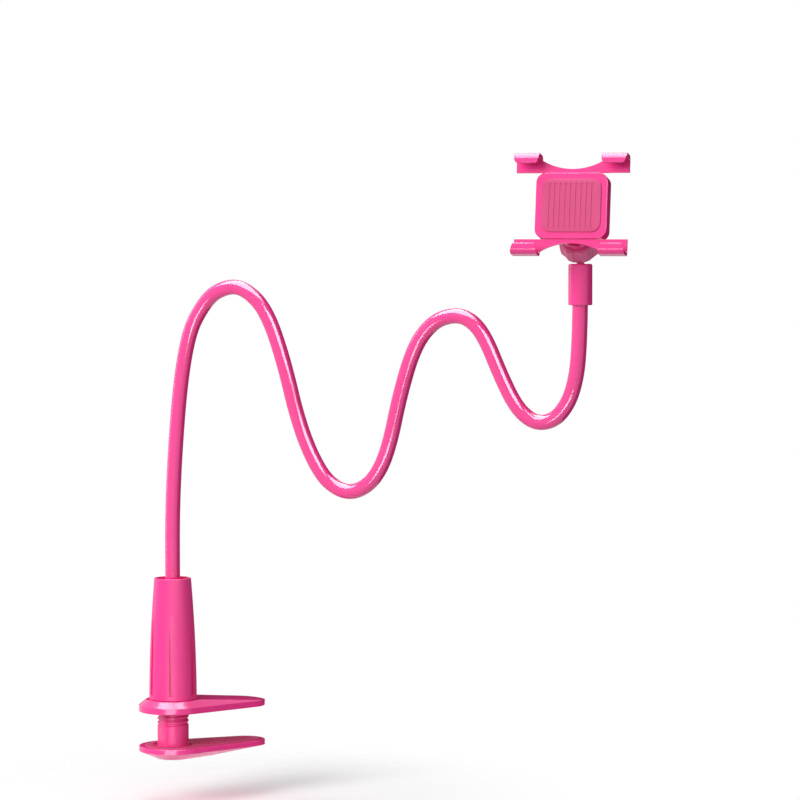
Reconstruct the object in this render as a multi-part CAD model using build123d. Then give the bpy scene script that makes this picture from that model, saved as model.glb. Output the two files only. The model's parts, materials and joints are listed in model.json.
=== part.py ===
from build123d import *
import math
import os

# Bendable arm holder: an edge clamp, a long bendable arm and a spring clip on a ball joint.
# Millimetres. +Z runs up the clamp's post, +X runs from the post towards the tips of the jaws.
# The origin lies on the post's axis, in the plane of the lower pad's gripping face.

# Fits between neighbouring pieces
SLIDE_FIT = 0.3
RUNNING_FIT = 0.05
SEAT_GAP = 0.3
# How far a cutter runs past the face that it opens
CUT_OVER = 1.0

# Clamp jaws: an outline round two circles, one about the post and one at the tip
JAW_REAR_R = 23.0
JAW_TIP_R = 14.0
JAW_TIP_X = 54.0
JAW_EDGE_R = 1.2
GRIP_GAP = 22.0

LOWER_RIM_H = 3.4
LOWER_BELLY_H = 5.3
LOWER_BELLY_REAR_R = 11.0
LOWER_BELLY_TIP_R = 5.0
LOWER_BELLY_TIP_X = 24.0

UPPER_RIM_H = 4.2
UPPER_RISE_H = 4.0
UPPER_RISE_REAR_R = 18.0
UPPER_RISE_TIP_R = 9.0
UPPER_RISE_TIP_X = 40.0
UPPER_SLOPE = 5.0
FLARE_R = 4.4

# Rubber pads let into the faces of the jaws
PAD_T = 2.0
PAD_PROUD = 0.6
PAD_INSET = 4.0
PAD_POST_GAP = 2.4

# Post: round, with a flat on each side that keeps the upper jaw from turning
POST_R = 10.6
POST_FLAT = 8.6
POST_TOP_Z = 76.0
POST_FOOT_DEPTH = 2.0
POST_SCREW_R = 2.4
POST_SCREW_LENGTH = 16.0
POST_SCREW_HEAD_R = 4.6
POST_SCREW_HEAD_H = 3.0
POST_SCREW_SINK = 0.8

# Handle: the nut of the clamp, which turns on the upper jaw
HANDLE_H = 81.4
HANDLE_FOOT_R = 16.0
HANDLE_MID_R = 14.95
HANDLE_TOP_R = 12.3
HANDLE_MOUTH_WALL = 1.2
HANDLE_MOUTH_DEPTH = 6.0
HANDLE_FLOOR_T = 2.5
HANDLE_RIM_R = 0.5
FLUTES = 6
FLUTE_W = 2.8
FLUTE_FLOOR_R = 14.05
FLUTE_FOOT_Z = 3.0
SNAP_NECK_R = 12.8
SNAP_BEAD_R = 13.7
SNAP_BEAD_H = 1.6
SNAP_DEPTH = 3.4
SNAP_LIP_H = 1.2

# Arm: a soft sleeve over a bendable core, in an upright plane along ARM_HEADING
ARM_HEADING = -50.0
ARM_REACH = 285.5
SLEEVE_R = 5.0
CORE_R = 3.2
CORE_FOOT_DEPTH = 6.0
BUSH_R = 7.0
BUSH_LENGTH = 32.0
BUSH_FLANGE_R = 9.6
BUSH_FLANGE_T = 2.0
# Corners of the arm's route: share of ARM_REACH, height
ROUTE = [
    (0, 183),
    (0.026, 249),
    (0.0445, 286.5),
    (0.1725, 318),
    (0.2785, 271),
    (0.311, 223),
    (0.386, 175.5),
    (0.5165, 175.5),
    (0.568, 235),
    (0.6235, 286),
    (0.7565, 293.5),
    (0.8495, 223.5),
    (0.974, 224),
    (1, 275),
]
ARC_SHARE = 0.45

# Collar at the arm's end and the ball that stands on it
COLLAR_R = 7.7
COLLAR_FOOT_Z = 298.0
COLLAR_H = 26.4
COLLAR_EDGE = 0.8
SLEEVE_IN_COLLAR = 17.0
BALL_R = 8.5
BALL_ABOVE_COLLAR = 12.6
STUD_NECK_R = 2.5
STUD_SHANK_R = 3.6
STUD_HEAD_R = 4.8
STUD_HEAD_H = 2.0

# Split socket of the clip: its axis points CLIP_HEADING from the arm's own heading, tilted up by SOCKET_TILT
CLIP_HEADING = -84.0
SOCKET_TILT = 31.0
SOCKET_WALL = 2.0
SOCKET_MOUTH = 0.6
SOCKET_DEPTH = 15.0
SOCKET_SLITS = 4
SLIT_W = 1.2
SLIT_DEPTH = 9.0

# Ring nut that squeezes the split socket on the ball
NUT_H = 12.0
NUT_BACK = 2.6
NUT_BACK_R = 11.8
NUT_WIDE_R = 13.6
NUT_WIDE_BACK = 0.8
NUT_FRONT_R = 12.9
NUT_LIP_BACK = 1.6
NUT_MOUTH_R = 10.5
NUT_SCALLOPS = 8
SCALLOP_R = 7.0
SCALLOP_DEPTH = 1.1

# Housing of the clip; distances forward are from its back, which leans forward from the socket's axis
NECK_REACH = 24.0
HEAD_LEAN = 21.0
HEAD_RISE = 10.0
BODY_W = 46.0
BODY_L = 42.0
BODY_DEPTH = 11.5
BODY_CORNER_R = 6.0
BODY_WALL = 2.0
BODY_FLOOR = 2.0
BODY_EDGE_R = 1.4
NECK_R = 6.5
NECK_FILLET = 2.0
COVER_T = 1.2
CLIP_PAD_T = 0.8
CLIP_PAD_INSET = 4.0
SCREW_POST_R = 2.7
SCREW_R = 1.0
SCREW_HEAD_R = 2.0
SCREW_HEAD_H = 1.4
SCREW_INSET = 4.3

# Forks: two plates that slide out of the housing, each with two hooked fingers
GRIP_W = 58.5
GRIP_DEPTH = 7.6
FORK_T = 2.0
STEM_W = 30.0
STEM_GAP = 2.0
FORK_STOP_GAP = 0.3
FORK_ARCH = 5.5
FINGER_W = 16.5
FINGER_SPREAD = 56.0
FINGER_T = 2.0
FINGER_LIP = 3.8
FINGER_BACK_R = 3.0
FINGER_FRONT_R = 4.2
FINGER_TIP_R = 0.8
LIP_TAPER = 1.4
LIP_CORNER_R = 2.0
FINGER_PAD_T = 1.0
FINGER_PAD_INSET = 1.2

# Compression springs inside the housing
SPRING_R = 2.4
SPRING_WIRE_R = 0.35
SPRING_TURNS = 5
SPRING_TAB_T = 2.0

# Sizes worked out from the ones above
LOWER_FACE_Z = -PAD_PROUD
UPPER_FACE_Z = GRIP_GAP + PAD_PROUD
JAW_TOP_Z = UPPER_FACE_Z + UPPER_RIM_H + UPPER_RISE_H
HANDLE_FOOT_Z = JAW_TOP_Z + SEAT_GAP
POST_BORE_R = POST_R + SLIDE_FIT
SOCKET_R = BALL_R + RUNNING_FIT
SOCKET_OUTER_R = SOCKET_R + SOCKET_WALL
NUT_BORE_R = SOCKET_OUTER_R + RUNNING_FIT
NUT_FRONT = NUT_H - NUT_BACK
NUT_LIP_R = math.sqrt(SOCKET_R**2 - NUT_LIP_BACK**2)
FORK_FRONT = BODY_DEPTH - SLIDE_FIT
FORK_BACK = FORK_FRONT - FORK_T
FORK_FOOT_Y = BODY_L / 2 + FORK_STOP_GAP
HELD_BACK = BODY_DEPTH + COVER_T + CLIP_PAD_T + SEAT_GAP
LIP_BACK = HELD_BACK + GRIP_DEPTH
FINGER_INNER_Y = GRIP_W / 2 + FINGER_PAD_T
FINGER_OUTER_Y = FINGER_INNER_Y + FINGER_T
LIP_TIP_Y = GRIP_W / 2 - FINGER_LIP
SPRING_N = BODY_FLOOR + SLIDE_FIT + SPRING_R + SPRING_WIRE_R
SPRING_FOOT_Y = STEM_GAP / 2 + SPRING_TAB_T
SPRING_TOP_Y = BODY_L / 2 - BODY_WALL
SCREW_X = BODY_W / 2 - SCREW_INSET
SCREW_Y = BODY_L / 2 - SCREW_INSET

# Frames of the arm and the clip
arm_turn = math.radians(ARM_HEADING)
ARM_PLANE = Plane(
    origin=(0, 0, 0),
    x_dir=(math.cos(arm_turn), math.sin(arm_turn), 0),
    z_dir=(math.sin(arm_turn), -math.cos(arm_turn), 0),
)
COLLAR_TOP_Z = COLLAR_FOOT_Z + COLLAR_H
SLEEVE_TOP_Z = COLLAR_FOOT_Z + SLEEVE_IN_COLLAR
SLEEVE_FOOT_Z = POST_TOP_Z - BUSH_LENGTH
CORE_FOOT_Z = SLEEVE_FOOT_Z - CORE_FOOT_DEPTH
BALL_CENTRE = ARM_PLANE.from_local_coords((ARM_REACH, COLLAR_TOP_Z + BALL_ABOVE_COLLAR, 0))
clip_turn = math.radians(ARM_HEADING + CLIP_HEADING)
clip_rise = math.radians(SOCKET_TILT)
SOCKET_PLANE = Plane(
    origin=BALL_CENTRE,
    x_dir=(-math.sin(clip_turn), math.cos(clip_turn), 0),
    z_dir=(
        math.cos(clip_rise) * math.cos(clip_turn),
        math.cos(clip_rise) * math.sin(clip_turn),
        math.sin(clip_rise),
    ),
)
HOUSING_PLACE = Pos(0, 0, NECK_REACH) * Rot(HEAD_LEAN, 0, 0) * Pos(0, HEAD_RISE, 0)


def disc(radius: float, z_low: float, z_high: float) -> Part:
    """An upright cylinder about Z between two heights."""
    return Pos(0, 0, z_low) * Cylinder(radius, z_high - z_low, align=(Align.CENTER, Align.CENTER, Align.MIN))


def ring(outer: float, inner: float, z_low: float, z_high: float) -> Part:
    """An upright tube about Z between two heights."""
    return disc(outer, z_low, z_high) - disc(inner, z_low, z_high)


def block(x: float, y: float, low: float, high: float) -> Part:
    """A box centred on Z, between two heights."""
    return Pos(0, 0, low) * Box(x, y, high - low, align=(Align.CENTER, Align.CENTER, Align.MIN))


def turned(points: list) -> Part:
    """A solid of revolution about Z from corners given as radius, height."""
    return revolve(Plane.XZ * make_face(Polyline(*points, close=True)), Axis.Z)


def jaw_outline(rear_r: float, tip_r: float, tip_x: float) -> Sketch:
    """The jaw's plan: a circle about the post, a smaller one at the tip and their common tangents."""
    lean = math.asin((rear_r - tip_r) / tip_x)
    rear_top = (rear_r * math.sin(lean), rear_r * math.cos(lean))
    tip_top = (tip_x + tip_r * math.sin(lean), tip_r * math.cos(lean))
    rear_low = (rear_top[0], -rear_top[1])
    tip_low = (tip_top[0], -tip_top[1])
    edges = [
        ThreePointArc(rear_top, (-rear_r, 0), rear_low),
        Line(rear_low, tip_low),
        ThreePointArc(tip_low, (tip_x + tip_r, 0), tip_top),
        Line(tip_top, rear_top),
    ]
    return make_face(edges)


def full_jaw_outline(inset: float = 0.0) -> Sketch:
    """The outline of both jaws, moved inwards by an inset."""
    return jaw_outline(JAW_REAR_R - inset, JAW_TIP_R - inset, JAW_TIP_X)


def post_section(gap: float = 0.0) -> Sketch:
    """The post's section with its two flats, grown by a gap."""
    across = 2 * (POST_FLAT + gap)
    return Circle(POST_R + gap) & Rectangle(across, 4 * POST_R)


def pad_solid(z_low: float, gap: float = 0.0) -> Part:
    """A rubber pad or, grown by a gap, the pocket for one, with room round the post."""
    outline = full_jaw_outline(PAD_INSET - gap) - Circle(POST_R + PAD_POST_GAP - gap)
    return Pos(0, 0, z_low) * extrude(outline, PAD_T)


def lower_pad() -> Part:
    return pad_solid(-PAD_T)


def upper_pad() -> Part:
    return pad_solid(GRIP_GAP)


def lower_jaw() -> Part:
    """Flat gripping face with a pad pocket, a straight rim and a rounded belly with the screw's recess."""
    rim_foot = LOWER_FACE_Z - LOWER_RIM_H
    belly_foot = rim_foot - LOWER_BELLY_H
    rim = Pos(0, 0, rim_foot) * extrude(full_jaw_outline(), LOWER_RIM_H)
    belly_outline = jaw_outline(LOWER_BELLY_REAR_R, LOWER_BELLY_TIP_R, LOWER_BELLY_TIP_X)
    belly = loft([Pos(0, 0, rim_foot) * full_jaw_outline(), Pos(0, 0, belly_foot) * belly_outline])
    jaw = rim + belly
    jaw = fillet(jaw.edges().group_by(Axis.Z)[0], JAW_EDGE_R)
    jaw = fillet(jaw.edges().group_by(Axis.Z)[-1], JAW_EDGE_R / 2)
    post_foot = LOWER_FACE_Z - POST_FOOT_DEPTH
    jaw -= Pos(0, 0, post_foot) * extrude(post_section(RUNNING_FIT), 2 * POST_FOOT_DEPTH)
    head_top = belly_foot + POST_SCREW_SINK + POST_SCREW_HEAD_H
    jaw -= disc(POST_SCREW_HEAD_R + SLIDE_FIT, belly_foot - CUT_OVER, head_top)
    jaw -= disc(POST_SCREW_R + SLIDE_FIT, belly_foot, 0)
    return jaw - pad_solid(-PAD_T, RUNNING_FIT)


def upper_jaw() -> Part:
    """Flat gripping face, a straight rim, a top that rises to the handle and a snap seat for its foot."""
    rim_top = UPPER_FACE_Z + UPPER_RIM_H
    rim = Pos(0, 0, UPPER_FACE_Z) * extrude(full_jaw_outline(), UPPER_RIM_H)
    rise_outline = jaw_outline(UPPER_RISE_REAR_R, UPPER_RISE_TIP_R, UPPER_RISE_TIP_X)
    rise = loft([Pos(0, 0, rim_top) * full_jaw_outline(), Pos(0, 0, JAW_TOP_Z) * rise_outline], ruled=True)
    jaw = rim + rise
    jaw = fillet(jaw.edges().group_by(Axis.Z)[-1], JAW_EDGE_R)
    jaw = fillet(jaw.edges().group_by(Axis.Z)[0], JAW_EDGE_R / 2)
    slope = block(4 * JAW_TIP_X, 4 * JAW_REAR_R, 0, 2 * UPPER_RISE_H)
    jaw -= Pos(HANDLE_FOOT_R, 0, JAW_TOP_Z) * Rot(0, UPPER_SLOPE, 0) * slope
    flare_edge = [
        Line((POST_R, rim_top), (HANDLE_FOOT_R + FLARE_R, rim_top)),
        Line((HANDLE_FOOT_R + FLARE_R, rim_top), (HANDLE_FOOT_R + FLARE_R, JAW_TOP_Z - FLARE_R)),
        RadiusArc((HANDLE_FOOT_R + FLARE_R, JAW_TOP_Z - FLARE_R), (HANDLE_FOOT_R, JAW_TOP_Z), FLARE_R),
        Line((HANDLE_FOOT_R, JAW_TOP_Z), (POST_R, JAW_TOP_Z)),
        Line((POST_R, JAW_TOP_Z), (POST_R, rim_top)),
    ]
    jaw += revolve(Plane.XZ * make_face(flare_edge), Axis.Z)
    bore_foot = UPPER_FACE_Z - CUT_OVER
    jaw -= Pos(0, 0, bore_foot) * extrude(post_section(SLIDE_FIT), JAW_TOP_Z + CUT_OVER - bore_foot)
    seat_foot = JAW_TOP_Z - SNAP_DEPTH - SEAT_GAP
    jaw -= disc(SNAP_BEAD_R + SLIDE_FIT, seat_foot, JAW_TOP_Z - SNAP_LIP_H)
    jaw -= disc(SNAP_NECK_R + SLIDE_FIT, seat_foot, JAW_TOP_Z + CUT_OVER)
    return jaw - pad_solid(GRIP_GAP, RUNNING_FIT)


def clamp_post() -> Part:
    """The post with its flats, the bore for the arm's bush and the hole for its foot screw."""
    foot = LOWER_FACE_Z - POST_FOOT_DEPTH
    post = Pos(0, 0, foot) * extrude(post_section(), POST_TOP_Z - foot)
    post -= disc(BUSH_R, POST_TOP_Z - BUSH_LENGTH, POST_TOP_Z + CUT_OVER)
    post -= disc(CORE_R, CORE_FOOT_Z, POST_TOP_Z)
    return post - disc(POST_SCREW_R, foot, screw_top_z())


def screw_head_top_z() -> float:
    """Height of the seat of the post screw's head."""
    belly_foot = LOWER_FACE_Z - LOWER_RIM_H - LOWER_BELLY_H
    return belly_foot + POST_SCREW_SINK + POST_SCREW_HEAD_H


def screw_top_z() -> float:
    """Height of the end of the post screw."""
    return screw_head_top_z() + POST_SCREW_LENGTH


def post_screw() -> Part:
    """Pan-head screw that holds the post to the lower jaw."""
    head_top = screw_head_top_z()
    head = disc(POST_SCREW_HEAD_R, head_top - POST_SCREW_HEAD_H, head_top)
    head = fillet(head.edges().group_by(Axis.Z)[0], POST_SCREW_HEAD_H / 3)
    return head + disc(POST_SCREW_R, head_top, screw_top_z())


def arm_bush() -> Part:
    """Flanged bush that holds the arm's foot in the post."""
    bore = SLEEVE_R + RUNNING_FIT
    bush = ring(BUSH_R, bore, POST_TOP_Z - BUSH_LENGTH, POST_TOP_Z)
    return bush + ring(BUSH_FLANGE_R, bore, POST_TOP_Z, POST_TOP_Z + BUSH_FLANGE_T)


def handle_body() -> Part:
    """The handle's outside: a convex taper, with its foot at height zero."""
    outline = [
        Line((0, 0), (HANDLE_FOOT_R, 0)),
        ThreePointArc((HANDLE_FOOT_R, 0), (HANDLE_MID_R, HANDLE_H / 2), (HANDLE_TOP_R, HANDLE_H)),
        Line((HANDLE_TOP_R, HANDLE_H), (0, HANDLE_H)),
        Line((0, HANDLE_H), (0, 0)),
    ]
    return revolve(Plane.XZ * make_face(outline), Axis.Z)


def clamp_handle() -> Part:
    """Fluted handle with a long bore for the post, a recessed mouth for the arm and a snap foot."""
    handle = handle_body()
    flute = Pos(FLUTE_FLOOR_R, 0, FLUTE_FOOT_Z) * Box(
        HANDLE_FOOT_R, FLUTE_W, HANDLE_H, align=(Align.MIN, Align.CENTER, Align.MIN)
    )
    for place in PolarLocations(0, FLUTES):
        handle -= place * flute
    mouth_r = HANDLE_TOP_R - HANDLE_MOUTH_WALL
    floor_top = HANDLE_H - HANDLE_MOUTH_DEPTH
    handle -= disc(mouth_r, floor_top, HANDLE_H + CUT_OVER)
    handle = fillet(handle.edges().group_by(Axis.Z)[-1], HANDLE_RIM_R)
    snap_foot = -SNAP_DEPTH
    handle += disc(SNAP_NECK_R, snap_foot, FLUTE_FOOT_Z)
    handle += disc(SNAP_BEAD_R, snap_foot, snap_foot + SNAP_BEAD_H)
    handle -= disc(POST_BORE_R, snap_foot - CUT_OVER, floor_top - HANDLE_FLOOR_T)
    handle -= disc(SLEEVE_R + SLIDE_FIT, 0, HANDLE_H)
    return Pos(0, 0, HANDLE_FOOT_Z) * handle


def arm_path(foot_z: float, top_z: float) -> Wire:
    """The arm's centre line: straight runs joined by tangent arcs, in the arm's own upright plane."""
    corners = [(0, foot_z), *[(share * ARM_REACH, z) for share, z in ROUTE], (ARM_REACH, top_z)]
    radii = []
    for before, corner, after in zip(corners, corners[1:], corners[2:]):
        run_in = math.dist(before, corner)
        run_out = math.dist(corner, after)
        turn_in = math.atan2(corner[1] - before[1], corner[0] - before[0])
        turn_out = math.atan2(after[1] - corner[1], after[0] - corner[0])
        half_turn = abs(math.remainder(turn_out - turn_in, 2 * math.pi)) / 2
        radii.append(ARC_SHARE * min(run_in, run_out) / math.tan(half_turn))
    points = [ARM_PLANE.from_local_coords((u, z, 0)) for u, z in corners]
    return Wire(FilletPolyline(*points, radius=radii).edges())


def arm_rod(radius: float, foot_z: float, top_z: float) -> Part:
    """A round rod along the arm's centre line."""
    path = arm_path(foot_z, top_z)
    section = Plane(origin=path @ 0, z_dir=path % 0) * Circle(radius)
    return sweep(section, path=path)


def gooseneck_core() -> Part:
    return arm_rod(CORE_R, CORE_FOOT_Z, SLEEVE_TOP_Z)


def gooseneck_sleeve() -> Part:
    path = arm_path(SLEEVE_FOOT_Z, SLEEVE_TOP_Z)
    section = Plane(origin=path @ 0, z_dir=path % 0) * (Circle(SLEEVE_R) - Circle(CORE_R))
    return sweep(section, path=path)


def at_arm_end(piece: Part) -> Part:
    """Moves an upright piece to the axis of the arm's end."""
    place = ARM_PLANE.from_local_coords((ARM_REACH, 0, 0))
    return Pos(place.X, place.Y, 0) * piece


def neck_collar() -> Part:
    """Round collar over the arm's end, with the seat of the ball stud above it."""
    collar = disc(COLLAR_R, COLLAR_FOOT_Z, COLLAR_TOP_Z)
    collar = chamfer(collar.edges().group_by(Axis.Z)[0], COLLAR_EDGE / 2)
    collar = chamfer(collar.edges().group_by(Axis.Z)[-1], COLLAR_EDGE)
    collar -= disc(SLEEVE_R + RUNNING_FIT, COLLAR_FOOT_Z, SLEEVE_TOP_Z)
    head_top = SLEEVE_TOP_Z + SEAT_GAP + STUD_HEAD_H + RUNNING_FIT
    collar -= disc(STUD_HEAD_R + RUNNING_FIT, SLEEVE_TOP_Z, head_top)
    collar -= disc(STUD_SHANK_R + RUNNING_FIT, SLEEVE_TOP_Z, COLLAR_TOP_Z)
    return at_arm_end(collar)


def ball_stud() -> Part:
    """Ball on a short neck, with a shank and a head that hold it in the collar."""
    head_foot = SLEEVE_TOP_Z + SEAT_GAP
    centre = COLLAR_TOP_Z + BALL_ABOVE_COLLAR
    stud = disc(STUD_HEAD_R, head_foot, head_foot + STUD_HEAD_H)
    stud += disc(STUD_SHANK_R, head_foot, COLLAR_TOP_Z)
    stud += disc(STUD_NECK_R, COLLAR_TOP_Z, centre)
    stud += Pos(0, 0, centre) * Sphere(BALL_R)
    return at_arm_end(stud)


def in_socket(piece: Part) -> Part:
    """Moves a piece from the socket's frame, with its origin at the ball, to its place."""
    return SOCKET_PLANE.location * piece


def in_clip(piece: Part) -> Part:
    """Moves a piece from the housing's frame, with its origin in the middle of its back, to its place."""
    return in_socket(HOUSING_PLACE * piece)


def ring_nut() -> Part:
    """Tapered nut with a scalloped side and a lip behind the ball's widest part."""
    nut = turned(
        [
            (NUT_LIP_R, -NUT_LIP_BACK),
            (NUT_MOUTH_R, -NUT_BACK),
            (NUT_BACK_R, -NUT_BACK),
            (NUT_WIDE_R, -NUT_WIDE_BACK),
            (NUT_FRONT_R, NUT_FRONT),
            (NUT_BORE_R, NUT_FRONT),
            (NUT_BORE_R, -SOCKET_MOUTH - SEAT_GAP / 2),
            (NUT_LIP_R, -SOCKET_MOUTH - SEAT_GAP / 2),
        ]
    )
    nut -= Sphere(SOCKET_R)
    lean = math.degrees(math.atan((NUT_FRONT_R - NUT_WIDE_R) / (NUT_FRONT + NUT_WIDE_BACK)))
    cutter_x = (NUT_FRONT_R + NUT_WIDE_R) / 2 + SCALLOP_R - SCALLOP_DEPTH
    middle = (NUT_FRONT - NUT_WIDE_BACK) / 2
    scallop = Pos(cutter_x, 0, middle) * Rot(0, lean, 0) * Cylinder(SCALLOP_R, 2 * NUT_H)
    for place in PolarLocations(0, NUT_SCALLOPS):
        nut -= place * scallop
    return in_socket(nut)


def screw_places() -> GridLocations:
    """Places of the four screws in the housing's corners."""
    return GridLocations(2 * SCREW_X, 2 * SCREW_Y, 2, 2)


def housing() -> Part:
    """Open box of the forks, with posts for the screws and a slot for the forks in each end wall."""
    body = extrude(RectangleRounded(BODY_W, BODY_L, BODY_CORNER_R), BODY_DEPTH)
    body = fillet(body.edges().group_by(Axis.Z)[0], BODY_EDGE_R)
    cavity_r = BODY_CORNER_R - BODY_WALL
    cavity = RectangleRounded(BODY_W - 2 * BODY_WALL, BODY_L - 2 * BODY_WALL, cavity_r)
    body -= Pos(0, 0, BODY_FLOOR) * extrude(cavity, BODY_DEPTH)
    for place in screw_places():
        body += place * disc(SCREW_POST_R, BODY_FLOOR, BODY_DEPTH)
    slot_w = STEM_W + 2 * SLIDE_FIT
    return body - block(slot_w, 2 * BODY_L, FORK_BACK - SLIDE_FIT, BODY_DEPTH)


def clip_body() -> Part:
    """Housing with the neck and the split socket of the ball joint behind it, in one piece."""
    neck = disc(NECK_R, SOCKET_DEPTH - SOCKET_WALL, NECK_REACH + NECK_R)
    neck &= HOUSING_PLACE * block(BODY_W, 2 * BODY_L, -2 * NECK_REACH, BODY_FLOOR / 2)
    body = HOUSING_PLACE * housing() + neck
    body = fillet(body.edges().filter_by(GeomType.ELLIPSE), NECK_FILLET)
    body += disc(SOCKET_OUTER_R, -SOCKET_MOUTH, SOCKET_DEPTH)
    body -= Sphere(SOCKET_R)
    body -= disc(math.sqrt(SOCKET_R**2 - SOCKET_MOUTH**2), -SOCKET_MOUTH - CUT_OVER, 0)
    slit = Pos(0, 0, -SOCKET_MOUTH - CUT_OVER) * Box(
        SLIT_W, 3 * SOCKET_OUTER_R, SLIT_DEPTH + CUT_OVER, align=(Align.CENTER, Align.CENTER, Align.MIN)
    )
    for turn in range(SOCKET_SLITS // 2):
        body -= Rot(0, 0, 45 + 90 * turn) * slit
    for place in screw_places():
        body -= HOUSING_PLACE * place * disc(SCREW_R, -CUT_OVER, BODY_DEPTH)
        body -= HOUSING_PLACE * place * disc(SCREW_HEAD_R + SLIDE_FIT, -CUT_OVER, SCREW_HEAD_H)
    return in_socket(body)


def clip_cover() -> Part:
    """Flat front cover of the housing."""
    outline = RectangleRounded(BODY_W, BODY_L, BODY_CORNER_R)
    cover = Pos(0, 0, BODY_DEPTH) * extrude(outline, COVER_T)
    cover = fillet(cover.edges().group_by(Axis.Z)[-1], COVER_T / 3)
    for place in screw_places():
        cover -= place * disc(SCREW_R, BODY_DEPTH - CUT_OVER, BODY_DEPTH + COVER_T / 2)
    return in_clip(cover)


def clip_pad() -> Part:
    """Soft pad on the cover, behind what is held."""
    outline = RectangleRounded(BODY_W - 2 * CLIP_PAD_INSET, BODY_L - 2 * CLIP_PAD_INSET, BODY_CORNER_R)
    return in_clip(Pos(0, 0, BODY_DEPTH + COVER_T) * extrude(outline, CLIP_PAD_T))


def cover_screws() -> Part:
    """Four screws from the back of the housing into its cover."""
    screw = disc(SCREW_HEAD_R, 0, SCREW_HEAD_H)
    screw += disc(SCREW_R, SCREW_HEAD_H, BODY_DEPTH + COVER_T / 2)
    return in_clip(Compound([place * screw for place in screw_places()]))


def finger_profile() -> Sketch:
    """Side view of a hooked finger, in distance from the clip's middle and distance forward."""
    lip_front = LIP_BACK + FINGER_T
    profile = make_face(
        Polyline(
            (FORK_FOOT_Y, FORK_BACK),
            (FINGER_OUTER_Y, FORK_BACK),
            (FINGER_OUTER_Y, lip_front),
            (LIP_TIP_Y, lip_front),
            (LIP_TIP_Y, LIP_BACK),
            (FINGER_INNER_Y, LIP_BACK),
            (FINGER_INNER_Y, FORK_FRONT),
            (FORK_FOOT_Y, FORK_FRONT),
            close=True,
        )
    )

    def corner(y: float, n: float) -> Vertex:
        return profile.vertices().sort_by_distance((y, n, 0))[0]

    profile = fillet(corner(FINGER_OUTER_Y, FORK_BACK), FINGER_BACK_R)
    profile = fillet(corner(FINGER_INNER_Y, FORK_FRONT), FINGER_BACK_R - FINGER_T)
    profile = fillet(corner(FINGER_OUTER_Y, lip_front), FINGER_FRONT_R)
    profile = fillet(corner(FINGER_INNER_Y, LIP_BACK), FINGER_FRONT_R - FINGER_T)
    profile = fillet(corner(LIP_TIP_Y, lip_front), FINGER_TIP_R)
    return fillet(corner(LIP_TIP_Y, LIP_BACK), FINGER_TIP_R)


def fork_plate() -> Sketch:
    """Plan of a fork: a stem in the housing and a bar with a shallow arch between its fingers."""
    stem_foot = STEM_GAP / 2
    bar_half = FINGER_SPREAD / 2 + FINGER_W / 2
    finger_in = FINGER_SPREAD / 2 - FINGER_W / 2
    shoulder_y = FINGER_OUTER_Y - FINGER_BACK_R
    stem = Pos(0, (stem_foot + FORK_FOOT_Y) / 2) * Rectangle(STEM_W, FORK_FOOT_Y - stem_foot)
    edges = [
        Line((-bar_half, FORK_FOOT_Y), (bar_half, FORK_FOOT_Y)),
        Line((bar_half, FORK_FOOT_Y), (bar_half, shoulder_y)),
        Line((bar_half, shoulder_y), (finger_in, shoulder_y)),
        ThreePointArc((finger_in, shoulder_y), (0, shoulder_y - FORK_ARCH), (-finger_in, shoulder_y)),
        Line((-finger_in, shoulder_y), (-bar_half, shoulder_y)),
        Line((-bar_half, shoulder_y), (-bar_half, FORK_FOOT_Y)),
    ]
    return stem + make_face(edges)


def lip_trim() -> Part:
    """What is cut from a finger's lip to narrow it towards its tip and round the tip's corners."""
    half = FINGER_W / 2
    lip = make_face(
        Polyline(
            (-half, FINGER_INNER_Y),
            (half, FINGER_INNER_Y),
            (half - LIP_TAPER, LIP_TIP_Y),
            (LIP_TAPER - half, LIP_TIP_Y),
            close=True,
        )
    )
    lip = fillet(lip.vertices().group_by(Axis.Y)[0], LIP_CORNER_R)
    middle_y = (FINGER_INNER_Y + LIP_TIP_Y) / 2
    around = Pos(0, middle_y) * Rectangle(FINGER_W + CUT_OVER, FINGER_INNER_Y - LIP_TIP_Y)
    lip_foot = LIP_BACK - FINGER_FRONT_R + FINGER_T
    return Pos(0, 0, lip_foot) * extrude(around - lip, 2 * FINGER_FRONT_R)


def fork() -> Part:
    """A sliding plate with two hooked fingers and the tab that its spring pushes on."""
    plate = Pos(0, 0, FORK_BACK) * extrude(fork_plate(), FORK_T)
    side = Plane(origin=(0, 0, 0), x_dir=(0, 1, 0), z_dir=(1, 0, 0))
    finger = extrude(side * finger_profile(), FINGER_W / 2, both=True) - lip_trim()
    for place in GridLocations(FINGER_SPREAD, 0, 2, 1):
        plate += place * finger
    tab_back = BODY_FLOOR + SLIDE_FIT
    tab = Pos(0, STEM_GAP / 2, 0) * block(4 * SPRING_R, 2 * SPRING_TAB_T, tab_back, FORK_BACK + FORK_T / 2)
    tab &= Pos(0, STEM_GAP / 2 + SPRING_TAB_T / 2, 0) * block(4 * SPRING_R, SPRING_TAB_T, 0, FORK_FRONT)
    return plate + tab


def opposite(piece: Part) -> Part:
    """The lower copy of a piece of the upper fork: turned half round in the clip's plane."""
    return Rot(0, 0, 180) * piece


def upper_fork() -> Part:
    return in_clip(fork())


def lower_fork() -> Part:
    return in_clip(opposite(fork()))


def finger_pads() -> Part:
    """Soft linings inside the two fingers of one fork."""
    front = LIP_BACK - FINGER_FRONT_R + FINGER_T
    length = front - FORK_FRONT - FINGER_BACK_R + FINGER_T
    width = FINGER_W - FINGER_PAD_INSET
    pad = Pos(0, FINGER_INNER_Y, front) * Box(
        width, FINGER_PAD_T, length, align=(Align.CENTER, Align.MAX, Align.MAX)
    )
    return Compound([place * pad for place in GridLocations(FINGER_SPREAD, 0, 2, 1)])


def upper_finger_pads() -> Part:
    return in_clip(finger_pads())


def lower_finger_pads() -> Part:
    return in_clip(opposite(finger_pads()))


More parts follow.
